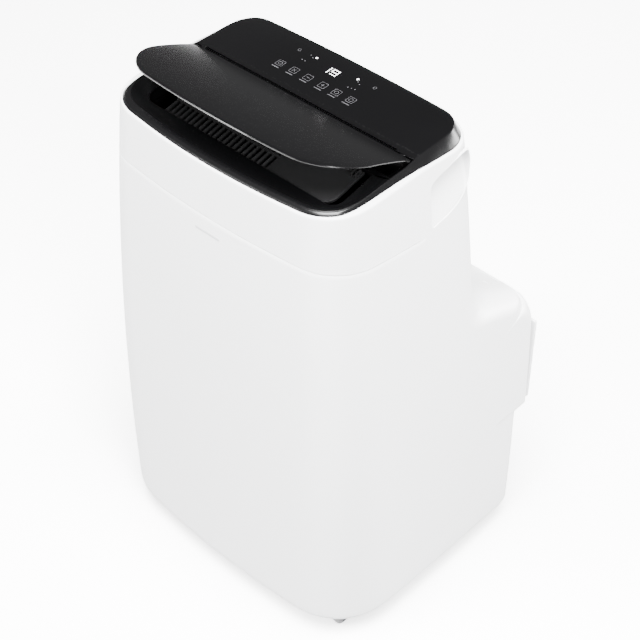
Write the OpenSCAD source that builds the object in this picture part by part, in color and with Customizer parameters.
// Portable air conditioner on four twin-wheel casters.
// Frame: origin at the floor under the middle of the case, +Z up, front towards -Y.
// The case is drawn from its own bottom edge, then place() lifts it on to the casters.

/* [Case] */
// Width of the case at its bottom edge
bottom_w = 470.8; // [450:0.1:490]
// Width of the case at half height
middle_w = 456.8; // [440:0.1:475]
// Width of the case at its top lip
top_w = 398.8; // [385:0.1:415]
// Height of the case from bottom edge to top lip
case_h = 690; // [680:1:700]
// Wall thickness of the moulded shells
wall = 3; // [2.5:0.1:3.5]
// Gap under the case
floor_gap = 32; // [30:1:36]

/* [Rear] */
// Width of the slide-off filter field in the upper back
intake_w = 300; // [260:1:310]
// Radius of the exhaust port, for a 150 mm duct collar
port_r = 75; // [60:0.5:76]
// Height of the exhaust port centre over the bottom edge
port_z = 277; // [272:1:280]

/* [Outlet] */
// Width of the outlet opening
outlet_w = 326; // [300:1:330]
// Length of the guard fins from front to back
outlet_len = 64; // [55:1:66]
// Pitch of the guard fins
fin_pitch = 8.4; // [6:0.1:9]
// Number of steering vanes
vane_count = 4; // [4:1:4]

/* [Flap] */
// Half width of the outlet flap
flap_half = 181.5; // [175:0.5:182]
// Length of the flap from hinge edge to front edge
flap_len = 149; // [140:1:150]
// Angle at which the flap stands open
flap_open = 21.5; // [0:0.5:35]

/* [Casters] */
// Radius of a caster wheel
wheel_r = 15.5; // [14:0.5:15.5]
// Trail of a caster wheel behind its stem
trail = 9; // [6:1:12]

/* [Hidden] */

$fn = 48;
y_shift = -53.8;      // puts the origin under the middle of the whole depth
run_gap = 0.05;       // radial clearance of a shaft that turns in a bore
seam = 0.4;           // gap left between neighbouring shells

// ---------- outline of the case ----------

// value of the parabola through v0 at 0, v5 at a half and v1 at 1
function para(v0, v5, v1, t) =
    v0 + (4 * v5 - 3 * v0 - v1) * t + (2 * v0 + 2 * v1 - 4 * v5) * t * t;
function half_w(z) = para(bottom_w, middle_w, top_w, z / case_h) / 2;
function front_y(z) = para(-149.4, -147.1, -133, z / case_h);
function front_bow(z) = 6.7 + 2.1 * z / case_h;
function front_r(z) = 92 - 31 * z / case_h;

step_z = 190;         // underside of the rear housing
ridge_z = 334;        // top of the full-width part of the exhaust plate
crest_z = 366;        // top of its raised middle
neck_z = 500;         // where the shoulder meets the upright back
seam_z = 600.6;       // seam between front shell and top cover
seam_slope = -0.07;
lip_z = 692.6;        // lip of the top cover
top_slope = 0.06;     // the top falls towards the front
plate_z = 697.3;      // black top plate

// back of the case, its corner radius and the end of the side walls, by height
function back_y(z) = z < step_z ? 243
    : lookup(z, [[352, 250.5], [362, 246], [375, 236], [382, 220], [394, 195], [407, 172],
                 [422, 157], [445, 147], [470, 143], [neck_z, 141.5], [case_h, 133]]);
function back_r(z) = z < step_z ? 33
    : lookup(z, [[352, 12], [375, 30], [394, 35], [407, 34], [422, 36], [445, 36], [470, 40],
                 [neck_z, 46]]);
function side_end(z) = z < step_z ? 177
    : lookup(z, [[375, 177], [394, 150], [422, 115], [445, 105], [470, 97], [neck_z, 90]]);
function side_x(y, z) = half_w(z) - (y < 10 ? 5.4 * pow((y - 10) / 140, 2) : 4 * pow((y - 10) / 230, 2));

function arc_pts(cx, cy, r, a0, a1, n = 6) =
    [for (i = [0:n]) [cx + r * cos(a0 + (a1 - a0) * i / n), cy + r * sin(a0 + (a1 - a0) * i / n)]];
function steps(a, b, n) = [for (i = [0:n]) a + (b - a) * i / n];
function flipped(p) = [for (i = [len(p) - 1:-1:0]) [-p[i][0], p[i][1]]];

// right half of the front: from the middle of the front to the end of the side wall
function front_half(z, t, y_end) =
    let (r = front_r(z) - t, f = front_y(z) + t, b = front_bow(z),
         cx = side_x(f + b + r, z) - t - r)
    concat([for (x = steps(0, cx, 4)) [x, f + b * pow(x / cx, 2)]],
           [for (p = arc_pts(cx, f + b + r, r, -90, 0, 8)) if (p[1] > f + b + 0.1) p],
           [for (y = steps(f + b + r, y_end, 4)) if (y > f + b + r) [side_x(y, z) - t, y]]);
function front_u(z, t, y_end) =
    let (h = front_half(z, t, y_end)) concat(flipped(h), [for (i = [1:len(h) - 1]) h[i]]);
// right half of the back: from the end of the side wall to the middle of the back
function back_half(z, t, y_end) =
    let (b = back_y(z) - t, r = max(back_r(z) - t, 1), cx = side_x(b - r, z) - t - r, bow = 3)
    concat([for (i = [0, 1]) let (y = y_end + (b - bow - r - y_end) * i / 2) [side_x(y, z) - t, y]],
           arc_pts(cx, b - bow - r, r, 0, 90, 5),
           [for (i = [3:-1:0]) [cx * i / 4, b - bow * pow(i / 4, 2)]]);
function back_u(z, t, y_end) =
    let (h = back_half(z, t, y_end)) concat(h, [for (i = [len(h) - 2:-1:0]) [-h[i][0], h[i][1]]]);
function outline(z, t, y_mid = 60) =
    let (f = front_u(z, t, y_mid), b = back_u(z, t, y_mid))
    concat(f, [for (i = [1:len(b) - 2]) b[i]]);

// a level is [height, slope along y, inset]; lift() turns its flat points into space points
function lift(pts, level) = [for (p = pts) [p[0], p[1], level[0] + level[1] * p[1]]];

// open shell: every level's ring runs along the outer wall and back along the inner wall
module strip(rings) {
    n = len(rings[0]);
    m = n / 2;
    last = (len(rings) - 1) * n;
    faces = concat(
        [for (l = [0:len(rings) - 2], i = [0:n - 1])
            [l * n + i, (l + 1) * n + i, (l + 1) * n + (i + 1) % n, l * n + (i + 1) % n]],
        [for (i = [0:m - 2]) [i, i + 1, n - 2 - i, n - 1 - i]],
        [for (i = [0:m - 2]) [last + n - 1 - i, last + n - 2 - i, last + i + 1, last + i]]);
    polyhedron([for (r = rings) each r], faces, convexity = 8);
}
function back_and_forth(outer, inner) =
    concat(outer, [for (i = [len(inner) - 1:-1:0]) inner[i]]);

// closed shell between an outer and an inner stack of rings
module tube(outer, inner) {
    n = len(outer[0]);
    k = len(outer);
    in0 = n * k;
    last = n * (k - 1);
    faces = concat(
        [for (l = [0:k - 2], i = [0:n - 1])
            [l * n + i, (l + 1) * n + i, (l + 1) * n + (i + 1) % n, l * n + (i + 1) % n]],
        [for (l = [0:k - 2], i = [0:n - 1])
            [in0 + l * n + (i + 1) % n, in0 + (l + 1) * n + (i + 1) % n,
             in0 + (l + 1) * n + i, in0 + l * n + i]],
        [for (i = [0:n - 1]) [i, (i + 1) % n, in0 + (i + 1) % n, in0 + i]],
        [for (i = [0:n - 1])
            [in0 + last + i, in0 + last + (i + 1) % n, last + (i + 1) % n, last + i]]);
    polyhedron(concat([for (r = outer) each r], [for (r = inner) each r]), faces, convexity = 8);
}

module place() { translate([0, y_shift, floor_gap]) children(); }
// frame of the sloping top plate: its surface is z = 0
module on_top() { place() translate([0, 0, plate_z]) rotate([atan(top_slope), 0, 0]) children(); }
module box(lo, hi) { translate(lo) cube(hi - lo); }
module along_y(r, y0, y1, x, z) { translate([x, y1, z]) rotate([90, 0, 0]) cylinder(h = y1 - y0, r = r); }
module along_x(r, x0, x1, y, z) { translate([x0, y, z]) rotate([0, 90, 0]) cylinder(h = x1 - x0, r = r); }
module tray(lo, hi, t) {
    difference() {
        box(lo, hi);
        box(lo + [t, t, t], hi + [-t, -t, 1]);
    }
}

// ---------- shells ----------

bottom_levels = [[0, 0, 8], [3, 0, 3], [10, 0, 0]];
shoulder = [375, 394, 407, 422, 445, 470, neck_z];
front_levels = concat(bottom_levels, [for (z = concat([100, step_z, 290], shoulder, [550])) [z, 0, 0]],
    [[seam_z - seam, seam_slope, 0]]);
module front_shell() {
    color("whitesmoke") place() strip([for (l = front_levels)
        lift(back_and_forth(front_u(l[0], l[2], side_end(l[0])),
                            front_u(l[0], l[2] + wall, side_end(l[0]))), l)]);
}

cup_outline = [[37, 607], [36, 639], [38, 662], [49, 669], [105, 682], [109, 660], [104, 636],
               [92, 620], [70, 611]];
module cup_prism(x0, x1, grow) {
    translate([x0, 0, 0]) rotate([90, 0, 90]) linear_extrude(x1 - x0) offset(delta = grow)
        polygon(cup_outline);
}
module handle_cup() {
    difference() {
        cup_prism(166, 190, 2.5);
        cup_prism(168.5, 191, 0);
    }
}
module handle_cup_right() { color("whitesmoke") place() handle_cup(); }
module handle_cup_left() { color("whitesmoke") place() mirror([1, 0, 0]) handle_cup(); }

top_levels = [[seam_z, seam_slope, 0], [650, 0, 0], [680, 0, 0], [lip_z, top_slope, 1.5]];
module top_cover() {
    color("whitesmoke") place() difference() {
        tube([for (l = top_levels) lift(outline(l[0], l[2]), l)],
             [for (l = top_levels) lift(outline(l[0], wall), l)]);
        cup_prism(185, 230, 0);
        mirror([1, 0, 0]) cup_prism(185, 230, 0);
        box([-intake_w / 2 + 12, 120, 610], [intake_w / 2 - 12, 150, 668]);
    }
}

rear_levels = [[neck_z + seam, 0, 0], [550, 0, 0], [seam_z - seam, seam_slope, 0]];
module rear_panel() {
    color("whitesmoke") place() difference() {
        strip([for (l = rear_levels) lift(back_and_forth(back_u(l[0], 0, 90 + seam),
                                                         back_u(l[0], wall, 90 + seam)), l)]);
        box([-intake_w / 2 + 12, 120, 516], [intake_w / 2 - 12, 150, 582]);
    }
}

housing_levels = [for (z = concat([step_z, 270, 352, 362], shoulder)) [z, 0, 0]];
plate_holes = [for (x = [-208, 208], z = [206, 318]) [x, z]];
module rear_housing() {
    color("whitesmoke") place() difference() {
        strip([for (l = housing_levels)
            lift(back_and_forth(back_u(l[0], 0, side_end(l[0]) + seam),
                                back_u(l[0], wall, side_end(l[0]) + seam)), l)]);
        along_y(port_r + 4, 230, 260, 0, port_z);
        for (h = plate_holes) along_y(1.9, 235, 260, h[0], h[1]);
    }
}

back_levels = concat(bottom_levels, [[100, 0, 0], [step_z - seam, 0, 0]]);
low_plug = [176, 22];
middle_plug = [196, 150];
gland = [-196, 120];
module lower_back() {
    color("whitesmoke") place() difference() {
        strip([for (l = back_levels) lift(back_and_forth(back_u(l[0], l[2], 177 + seam),
                                                         back_u(l[0], l[2] + wall, 177 + seam)), l)]);
        box([-150, 230, 46], [150, 250, 172]);
        along_y(9, 225, 250, low_plug[0], low_plug[1]);
        along_y(9, 225, 250, middle_plug[0], middle_plug[1]);
        along_y(8, 220, 250, gland[0], gland[1]);
    }
}

module exhaust_plate() {
    color("whitesmoke") place() difference() {
        union() {
            box([-226, 251, step_z + 1], [226, 255, ridge_z]);
            box([-162, 251, step_z + 2], [162, 255, crest_z]);
        }
        along_y(port_r + 4, 240, 260, 0, port_z);
        for (h = plate_holes) along_y(1.9, 240, 260, h[0], h[1]);
    }
}
module exhaust_ring() {
    color("dimgray") place() difference() {
        along_y(port_r + 3.6, 236, 254.5, 0, port_z);
        along_y(port_r, 235, 256, 0, port_z);
    }
}
module exhaust_guard() {
    color("dimgray") place() translate([0, 234, port_z]) rotate([90, 0, 0]) linear_extrude(3) {
        for (r = [15:15:port_r - 1]) difference() {
            circle(r + 1);
            circle(r - 1);
        }
        for (a = [0:45:135]) rotate(a) square([2 * port_r, 2.4], center = true);
    }
}
module exhaust_duct() {
    color("darkgray") place() difference() {
        box([-88, 120, 219], [88, 230, 342]);
        box([-85, 123, 222], [85, 227, 339]);
        box([10, 128, 218], [84, 182, 223]);
        box([-78, 226, 229], [78, 231, 335]);
    }
}

filter_h = 168;
intake_lean = 2.7;    // lean of the upper back
// frame of the upper back: its outer face is y = 0, z runs up along it
module on_back() { place() translate([0, 142.6, 504]) rotate([intake_lean, 0, 0]) children(); }
module upper_grille() {
    w = intake_w / 2;
    color("whitesmoke") on_back() difference() {
        box([-w - 6, 0, 0], [w + 6, 10, filter_h + 6]);
        box([-w - 1, 1.5, 3], [w + 1, 7, filter_h + 8]);
        for (z = [10:11:filter_h - 10]) box([-w + 8, -1, z], [w - 8, 11, z + 6.5]);
    }
}
module upper_filter() {
    w = intake_w / 2;
    color("slategray") on_back() difference() {
        box([-w, 2.5, 4], [w, 6, 4 + filter_h]);
        for (x = [-w + 8:48:w - 50]) box([x, 3.5, 12], [x + 42, 7, filter_h - 4]);
    }
}
module lower_filter() {
    color("whitesmoke") place() difference() {
        box([-148, 238, 48], [148, 246.5, 170]);
        box([-142, 237, 54], [142, 241, 164]);
        for (z = [58:11:152]) box([-138, 236, z], [138, 248, z + 6.5]);
    }
}
module plug(p) {
    color("dimgray") place() {
        along_y(8.8, 232, 242, p[0], p[1]);
        along_y(11, 242.5, 246, p[0], p[1]);
        along_y(6, 241, 243, p[0], p[1]);
    }
}
module drain_plug_low() { plug(low_plug); }
module drain_plug_middle() { plug(middle_plug); }
module cord_gland() {
    color("dimgray") place() difference() {
        union() {
            along_y(7.8, 226, 240, gland[0], gland[1]);
            along_y(11, 240.4, 246, gland[0], gland[1]);
            along_y(7.8, 239, 241, gland[0], gland[1]);
        }
        along_y(4.5, 220, 250, gland[0], gland[1]);
    }
}
module screws() {
    color("silver") place() for (h = plate_holes) {
        along_y(3.6, 255, 257, h[0], h[1]);
        along_y(1.8, 242, 255.5, h[0], h[1]);
    }
}

// ---------- base and casters ----------

caster_xy = [[-182, -100], [182, -100], [-182, 188], [182, 188]];
tray_floor = 8;
module base_tray() {
    color("gainsboro") place() difference() {
        union() {
            difference() {
                translate([0, 0, tray_floor]) linear_extrude(37) polygon(outline(10, wall + 3));
                translate([0, 0, tray_floor + 3]) linear_extrude(40) polygon(outline(10, wall + 6));
            }
            for (c = caster_xy) translate([c[0], c[1], tray_floor]) cylinder(h = 32, r = 11);
        }
        for (c = caster_xy) translate([c[0], c[1], tray_floor - 1]) cylinder(h = 30, r = 5 + run_gap);
        along_y(9, 220, 250, low_plug[0], low_plug[1]);
    }
}
axle_z = wheel_r - floor_gap;
module fork(i) {
    c = caster_xy[i];
    color("black") place() translate([c[0], c[1], 0]) difference() {
        union() {
            translate([0, 0, 5]) cylinder(h = 28, r = 5);
            translate([0, 0, 2]) cylinder(h = 4, r = 15);
            box([-2.8, -5, axle_z - 5], [2.8, trail + 6, 3]);
        }
        along_x(2.5 + run_gap, -4, 4, trail, axle_z);
    }
}
module caster_wheel(i) {
    c = caster_xy[i];
    color("black") place() translate([c[0], c[1] + trail, axle_z]) {
        for (s = [-1, 1]) translate([s * 8.5, 0, 0]) rotate([0, 90, 0])
            cylinder(h = 10, r = wheel_r, center = true);
        rotate([0, 90, 0]) cylinder(h = 9, r = 2.5, center = true);
    }
}
module fork_front_left() { fork(0); }
module fork_front_right() { fork(1); }
module fork_rear_left() { fork(2); }
module fork_rear_right() { fork(3); }
module wheel_front_left() { caster_wheel(0); }
module wheel_front_right() { caster_wheel(1); }
module wheel_rear_left() { caster_wheel(2); }
module wheel_rear_right() { caster_wheel(3); }

// ---------- top ----------

bezel_inset = 14;
bezel_levels = [[684, top_slope, wall + 0.6], [694, top_slope, wall + 0.6], [plate_z, top_slope, 8]];
module top_bezel() {
    color("black") difference() {
        place() tube([for (l = bezel_levels) lift(outline(case_h, l[2]), l)],
                     [for (l = bezel_levels) lift(outline(case_h, bezel_inset), l)]);
        on_top() translate([0, pin_y, -3.4]) linear_extrude(12) flap_plan(0.8);
    }
}
module top_piece(inset, y0, y1) {
    intersection() {
        polygon(outline(case_h, inset));
        translate([-250, y0]) square([500, y1 - y0]);
    }
}
module control_plate() {
    color("dimgray") on_top() {
        translate([0, 0, -3]) linear_extrude(3) top_piece(bezel_inset + 0.3, 29, 140);
    }
}
module control_board() {
    color("darkgreen") on_top() box([-110, 46, -12], [95, 110, -7]);
}

grille_tilt = 10.8;   // the outlet opening faces forward
outlet_front = -84;
outlet_depth = 16;
// frame of the outlet opening: x across, y from its front edge backwards, z out of it
module at_outlet() {
    on_top() translate([0, outlet_front, -outlet_depth]) rotate([grille_tilt, 0, 0]) children();
}
module outlet_deck() {
    color("black") {
        difference() {
            intersection() {
                on_top() translate([0, 0, -30]) linear_extrude(40)
                    top_piece(bezel_inset + 0.4, -140, -14);
                union() {
                    at_outlet() box([-200, -1, -3], [200, 80, 0]);
                    on_top() rotate([90, 0, 90]) translate([0, 0, -200]) linear_extrude(400)
                        polygon([[-130, -4], [outlet_front, -outlet_depth],
                                 [outlet_front, -outlet_depth - 3], [-130, -7]]);
                }
            }
            at_outlet() box([-outlet_w / 2, 0, -4], [outlet_w / 2, outlet_len, 1]);
        }
        on_top() difference() {
            translate([0, 0, -19]) linear_extrude(16) top_piece(bezel_inset + 0.4, -13.5, 28.5);
            translate([0, 0, -16]) linear_extrude(20) top_piece(bezel_inset + 3, -11, 26.5);
        }
    }
}
fin_x0 = -128;
fin_x1 = 48;
grille_x1 = 150;
module outlet_grille() {
    color("dimgray") at_outlet() {
        for (x = [fin_x0:fin_pitch:fin_x1]) box([x, 0.6, -12], [x + 1.4, outlet_len - 1, -4]);
        box([fin_x0, 0.6, -13], [fin_x1 + 2, 2, -4]);
        box([fin_x0, 24, -10], [fin_x1 + 2, 27, -3.4]);
        box([fin_x0, outlet_len - 2, -13], [fin_x1 + 2, outlet_len - 0.6, -4]);
        box([fin_x1, 0.6, -8], [grille_x1, outlet_len - 0.6, -4]);
    }
}

pin_y = 22;
pin_z = -3;
crown_r = 600;        // radius of the flap's slight curve
function flap_half_outline() = concat(
    [for (x = steps(0, flap_half - 66, 6)) [x, -flap_len + 12 * pow(x / (flap_half - 66), 2)]],
    [for (p = arc_pts(flap_half - 66, -flap_len + 12 + 66, 66, -90, 0, 10)) if (p[1] > -flap_len + 12.1) p],
    [[flap_half, -6], [flap_half - 11, 1.5]]);
module flap_plan(grow) {
    h = flap_half_outline();
    offset(delta = grow) polygon(concat(h, [for (i = [len(h) - 1:-1:1]) [-h[i][0], h[i][1]]]));
}
module flap_frame() {
    on_top() translate([0, pin_y, pin_z]) rotate([-flap_open, 0, 0]) children();
}
module flap() {
    chord = flap_len / 2;
    drop = sqrt(crown_r * crown_r - chord * chord);
    color("black") flap_frame() {
        intersection() {
            translate([0, 0, -5]) linear_extrude(25) flap_plan(0);
            translate([0, -chord, 3.5 - drop]) rotate([0, 90, 0]) difference() {
                cylinder(h = 2 * flap_half + 4, r = crown_r, center = true, $fn = 180);
                cylinder(h = 2 * flap_half + 6, r = crown_r - 3.2, center = true, $fn = 180);
            }
        }
        for (s = [-1, 1]) difference() {
            translate([s * 168, 0, 0]) rotate([0, 90, 0]) cylinder(h = 6, r = 4, center = true);
            translate([s * 168, 0, 0]) rotate([0, 90, 0]) cylinder(h = 8, r = 2.5, center = true);
        }
    }
}
module hinge_pins() {
    color("silver") on_top() for (s = [-1, 1])
        along_x(2.5, s * 173.2 - 8, s * 173.2 + 8, pin_y, pin_z);
}
module flap_motor() {
    color("silver") on_top() difference() {
        union() {
            along_x(12, -158, -140, pin_y - 4, pin_z - 30);
            box([-156, pin_y - 14, pin_z - 50], [-142, pin_y + 6, pin_z - 40]);
        }
        along_x(2.5 + run_gap, -160, -150, pin_y - 4, pin_z - 30);
    }
}

// ---------- air path ----------

duct_lo = [-163, -92, 624];
duct_hi = [163, -18, 664];
vane_z = 644;
vane_xs = [for (i = [0:vane_count - 1]) -110 + 44 * i];
vane_y0 = -86;
vane_y1 = -24;
bar_y = (vane_y0 + vane_y1) / 2;
bar_drop = 11;
module outlet_duct() {
    color("gainsboro") place() difference() {
        box(duct_lo, duct_hi);
        box(duct_lo + [2, 2, 2], duct_hi + [-2, -2, 1]);
        box([-100, -84, 620], [60, -26, 628]);
        for (x = vane_xs) along_y(1.5 + run_gap, -95, -15, x, vane_z);
    }
}
module vane(i) {
    x = vane_xs[i];
    color("dimgray") place() {
        difference() {
            box([x - 0.8, vane_y0, vane_z - 14], [x + 0.8, vane_y1, vane_z + 16]);
            box([x - 2, bar_y - 4, vane_z - 16], [x + 2, bar_y + 4, vane_z - 4]);
        }
        along_y(1.5, vane_y0 - 5, vane_y0 + 4, x, vane_z);
        along_y(1.5, vane_y1 - 4, vane_y1 + 5, x, vane_z);
        along_y(1.2, bar_y - 4.5, bar_y + 4.5, x, vane_z - bar_drop);
    }
}
module vane_1() { vane(0); }
module vane_2() { vane(1); }
module vane_3() { vane(2); }
module vane_4() { vane(3); }
module vane_bar() {
    color("gray") place() difference() {
        box([vane_xs[0] - 5, bar_y - 1.5, vane_z - bar_drop - 2.6],
            [vane_xs[vane_count - 1] + 5, bar_y + 1.5, vane_z - bar_drop + 2.6]);
        for (x = vane_xs) along_y(1.2 + run_gap, bar_y - 3, bar_y + 3, x, vane_z - bar_drop);
    }
}

// centrifugal wheel on its shaft, axis along y
module impeller(x, z, r, y0, y1, shaft_r, shaft_y, blades) {
    along_y(shaft_r, y0, shaft_y, x, z);
    along_y(r, y0, y0 + 2.5, x, z);
    translate([x, y1, z]) rotate([90, 0, 0]) difference() {
        cylinder(h = 4, r = r);
        translate([0, 0, -1]) cylinder(h = 6, r = r - 8);
    }
    for (i = [0:blades - 1]) translate([x, y1 - 1, z]) rotate([90, 0, 0])
        rotate(i * 360 / blades) translate([r - 12, -0.8, 0]) cube([11, 1.6, y1 - y0 - 2]);
}
module volute(x, z, r, y0, y1, out_lo, out_hi) {
    difference() {
        union() {
            along_y(r, y0, y1, x, z);
            box(out_lo, out_hi);
        }
        along_y(r - 3, y0 + 3, y1 - 3, x, z);
        along_y(r - 26, y0 - 1, y0 + 4, x, z);
        along_y(12, y1 - 4, y1 + 1, x, z);
        box(out_lo + [3, 3, -5], out_hi + [-3, -3, 1]);
    }
}
blower = [0, 505];
module blower_scroll() {
    color("gainsboro") place()
        volute(blower[0], blower[1], 106, -96, -12, [-98, -88, 560], [62, -22, 623.4]);
}
module blower_wheel() {
    color("lightgray") place()
        impeller(blower[0], blower[1], 84, -90, -20, 5, 25, 24);
}
module blower_motor() {
    color("silver") place() difference() {
        along_y(40, -8, 50, blower[0], blower[1]);
        along_y(5 + run_gap, -9, 30, blower[0], blower[1]);
    }
}
exhauster = [52, 128];
module exhaust_scroll() {
    color("gainsboro") place()
        volute(exhauster[0], exhauster[1], 84, 116, 192, [14, 126, 170], [82, 186, 218.4]);
}
module exhaust_wheel() {
    color("lightgray") place()
        impeller(exhauster[0], exhauster[1], 66, 124, 184, 5, 200, 20);
}
module exhaust_motor() {
    color("silver") place() difference() {
        along_y(20, 193, 204, exhauster[0], exhauster[1]);
        along_y(5 + run_gap, 192, 201, exhauster[0], exhauster[1]);
    }
}

// ---------- refrigeration ----------

module coil_pack(lo, hi, rows) {
    pitch = (hi[2] - lo[2]) / rows;
    box(lo + [3, 0, 0], hi - [3, 0, 0]);
    box(lo - [0, 2, 2], [lo[0] + 3, hi[1] + 2, hi[2] + 2]);
    box([hi[0] - 3, lo[1] - 2, lo[2] - 2], hi + [0, 2, 2]);
    for (s = [lo[0] - 6, hi[0] - 1], r = [0:rows - 1])
        along_x(4, s, s + 7, (lo[1] + hi[1]) / 2, lo[2] + (r + 0.5) * pitch);
}
module evaporator() { color("silver") place() coil_pack([-150, 92, 372], [150, 122, 664], 12); }
module condenser() { color("silver") place() coil_pack([-150, 207, 50], [148, 229, 182], 6); }
module mid_deck() {
    color("gainsboro") place() {
        tray([-190, -116, 346], [190, 190, 364], 3);
    }
}
comp = [-118, 62];
module compressor() {
    color("dimgray") place() translate([comp[0], comp[1], 0]) {
        translate([0, 0, 24]) cylinder(h = 190, r = 56);
        translate([0, 0, 214]) cylinder(h = 26, r1 = 56, r2 = 30, $fn = 48);
        translate([0, 0, 20]) linear_extrude(4) for (a = [90:120:330]) rotate(a) {
            translate([0, -12]) square([66, 24]);
        }
    }
}
module compressor_feet() {
    color("black") place() translate([comp[0], comp[1], 11]) for (a = [90:120:330]) rotate(a)
        translate([58, 0, 0]) difference() {
            cylinder(h = 9, r = 9);
            translate([0, 0, -1]) cylinder(h = 11, r = 3);
        }
}
acc = [-36, 30];
module accumulator() {
    color("dimgray") place() translate([acc[0], acc[1], 100]) {
        cylinder(h = 120, r = 21);
        translate([0, 0, 120]) cylinder(h = 12, r1 = 21, r2 = 7);
        translate([0, 0, -12]) cylinder(h = 12, r1 = 7, r2 = 21);
    }
}
module pipe_run(p) {
    for (i = [0:len(p) - 2]) let (d = p[i + 1] - p[i], l = norm(d))
        translate(p[i]) rotate([0, acos(d[2] / l), atan2(d[1], d[0])]) cylinder(h = l, r = 4);
    for (i = [1:len(p) - 2]) translate(p[i]) sphere(r = 5.5);
}
module copper_pipes() {
    color("peru") place() {
        pipe_run([[-36, 30, 232.5], [-36, 30, 280], [-36, 0, 300], [-170, 0, 300], [-196, 20, 300]]);
        pipe_run([[-118, 62, 241], [-118, 62, 290], [-118, 160, 300], [-180, 200, 290]]);
    }
}
module splash_wheel() {
    color("gray") place() {
        along_y(22, 132, 135, 178, 48);
        along_y(3, 118, 134, 178, 48);
        for (a = [0:45:315]) translate([178, 139, 48]) rotate([90, a, 0])
            translate([10, -1, 0]) cube([11, 2, 5]);
    }
}
module splash_motor() {
    color("silver") place() difference() {
        along_y(15, 92, 129, 178, 48);
        along_y(3 + run_gap, 116, 131, 178, 48);
    }
}

// ---------- electrics ----------

module electrics_box() {
    color("silver") place() difference() {
        box([150, -96, 60], [200, 20, 320]);
        box([148, -94, 62], [198, 18, 318]);
    }
}
module main_board() {
    color("darkgreen") place() {
        box([190, -88, 150], [192, 10, 310]);
        box([180, -70, 170], [190, -40, 200]);
        box([184, -30, 210], [190, 0, 250]);
        box([176, -80, 250], [190, -55, 290]);
    }
}
module capacitor() {
    color("silver") place() {
        translate([174, -40, 62.2]) cylinder(h = 78, r = 19);
        for (s = [-6, 6]) translate([174 + s, -43, 140]) cube([1.5, 6, 8]);
    }
}

base_tray();
front_shell();
top_cover();
rear_panel();
rear_housing();
lower_back();
exhaust_plate();
exhaust_ring();
exhaust_guard();
exhaust_duct();
upper_grille();
upper_filter();
lower_filter();
drain_plug_low();
drain_plug_middle();
cord_gland();
top_bezel();
control_plate();
control_board();
outlet_deck();
outlet_grille();
flap();
hinge_pins();
flap_motor();
vane_1();
vane_2();
vane_3();
vane_4();
vane_bar();
outlet_duct();
blower_scroll();
blower_wheel();
blower_motor();
evaporator();
mid_deck();
condenser();
exhaust_scroll();
exhaust_wheel();
exhaust_motor();
compressor();
accumulator();
compressor_feet();
copper_pipes();
splash_wheel();
splash_motor();
electrics_box();
main_board();
capacitor();
handle_cup_left();
handle_cup_right();
fork_front_left();
fork_front_right();
fork_rear_left();
fork_rear_right();
wheel_front_left();
wheel_front_right();
wheel_rear_left();
wheel_rear_right();
screws();
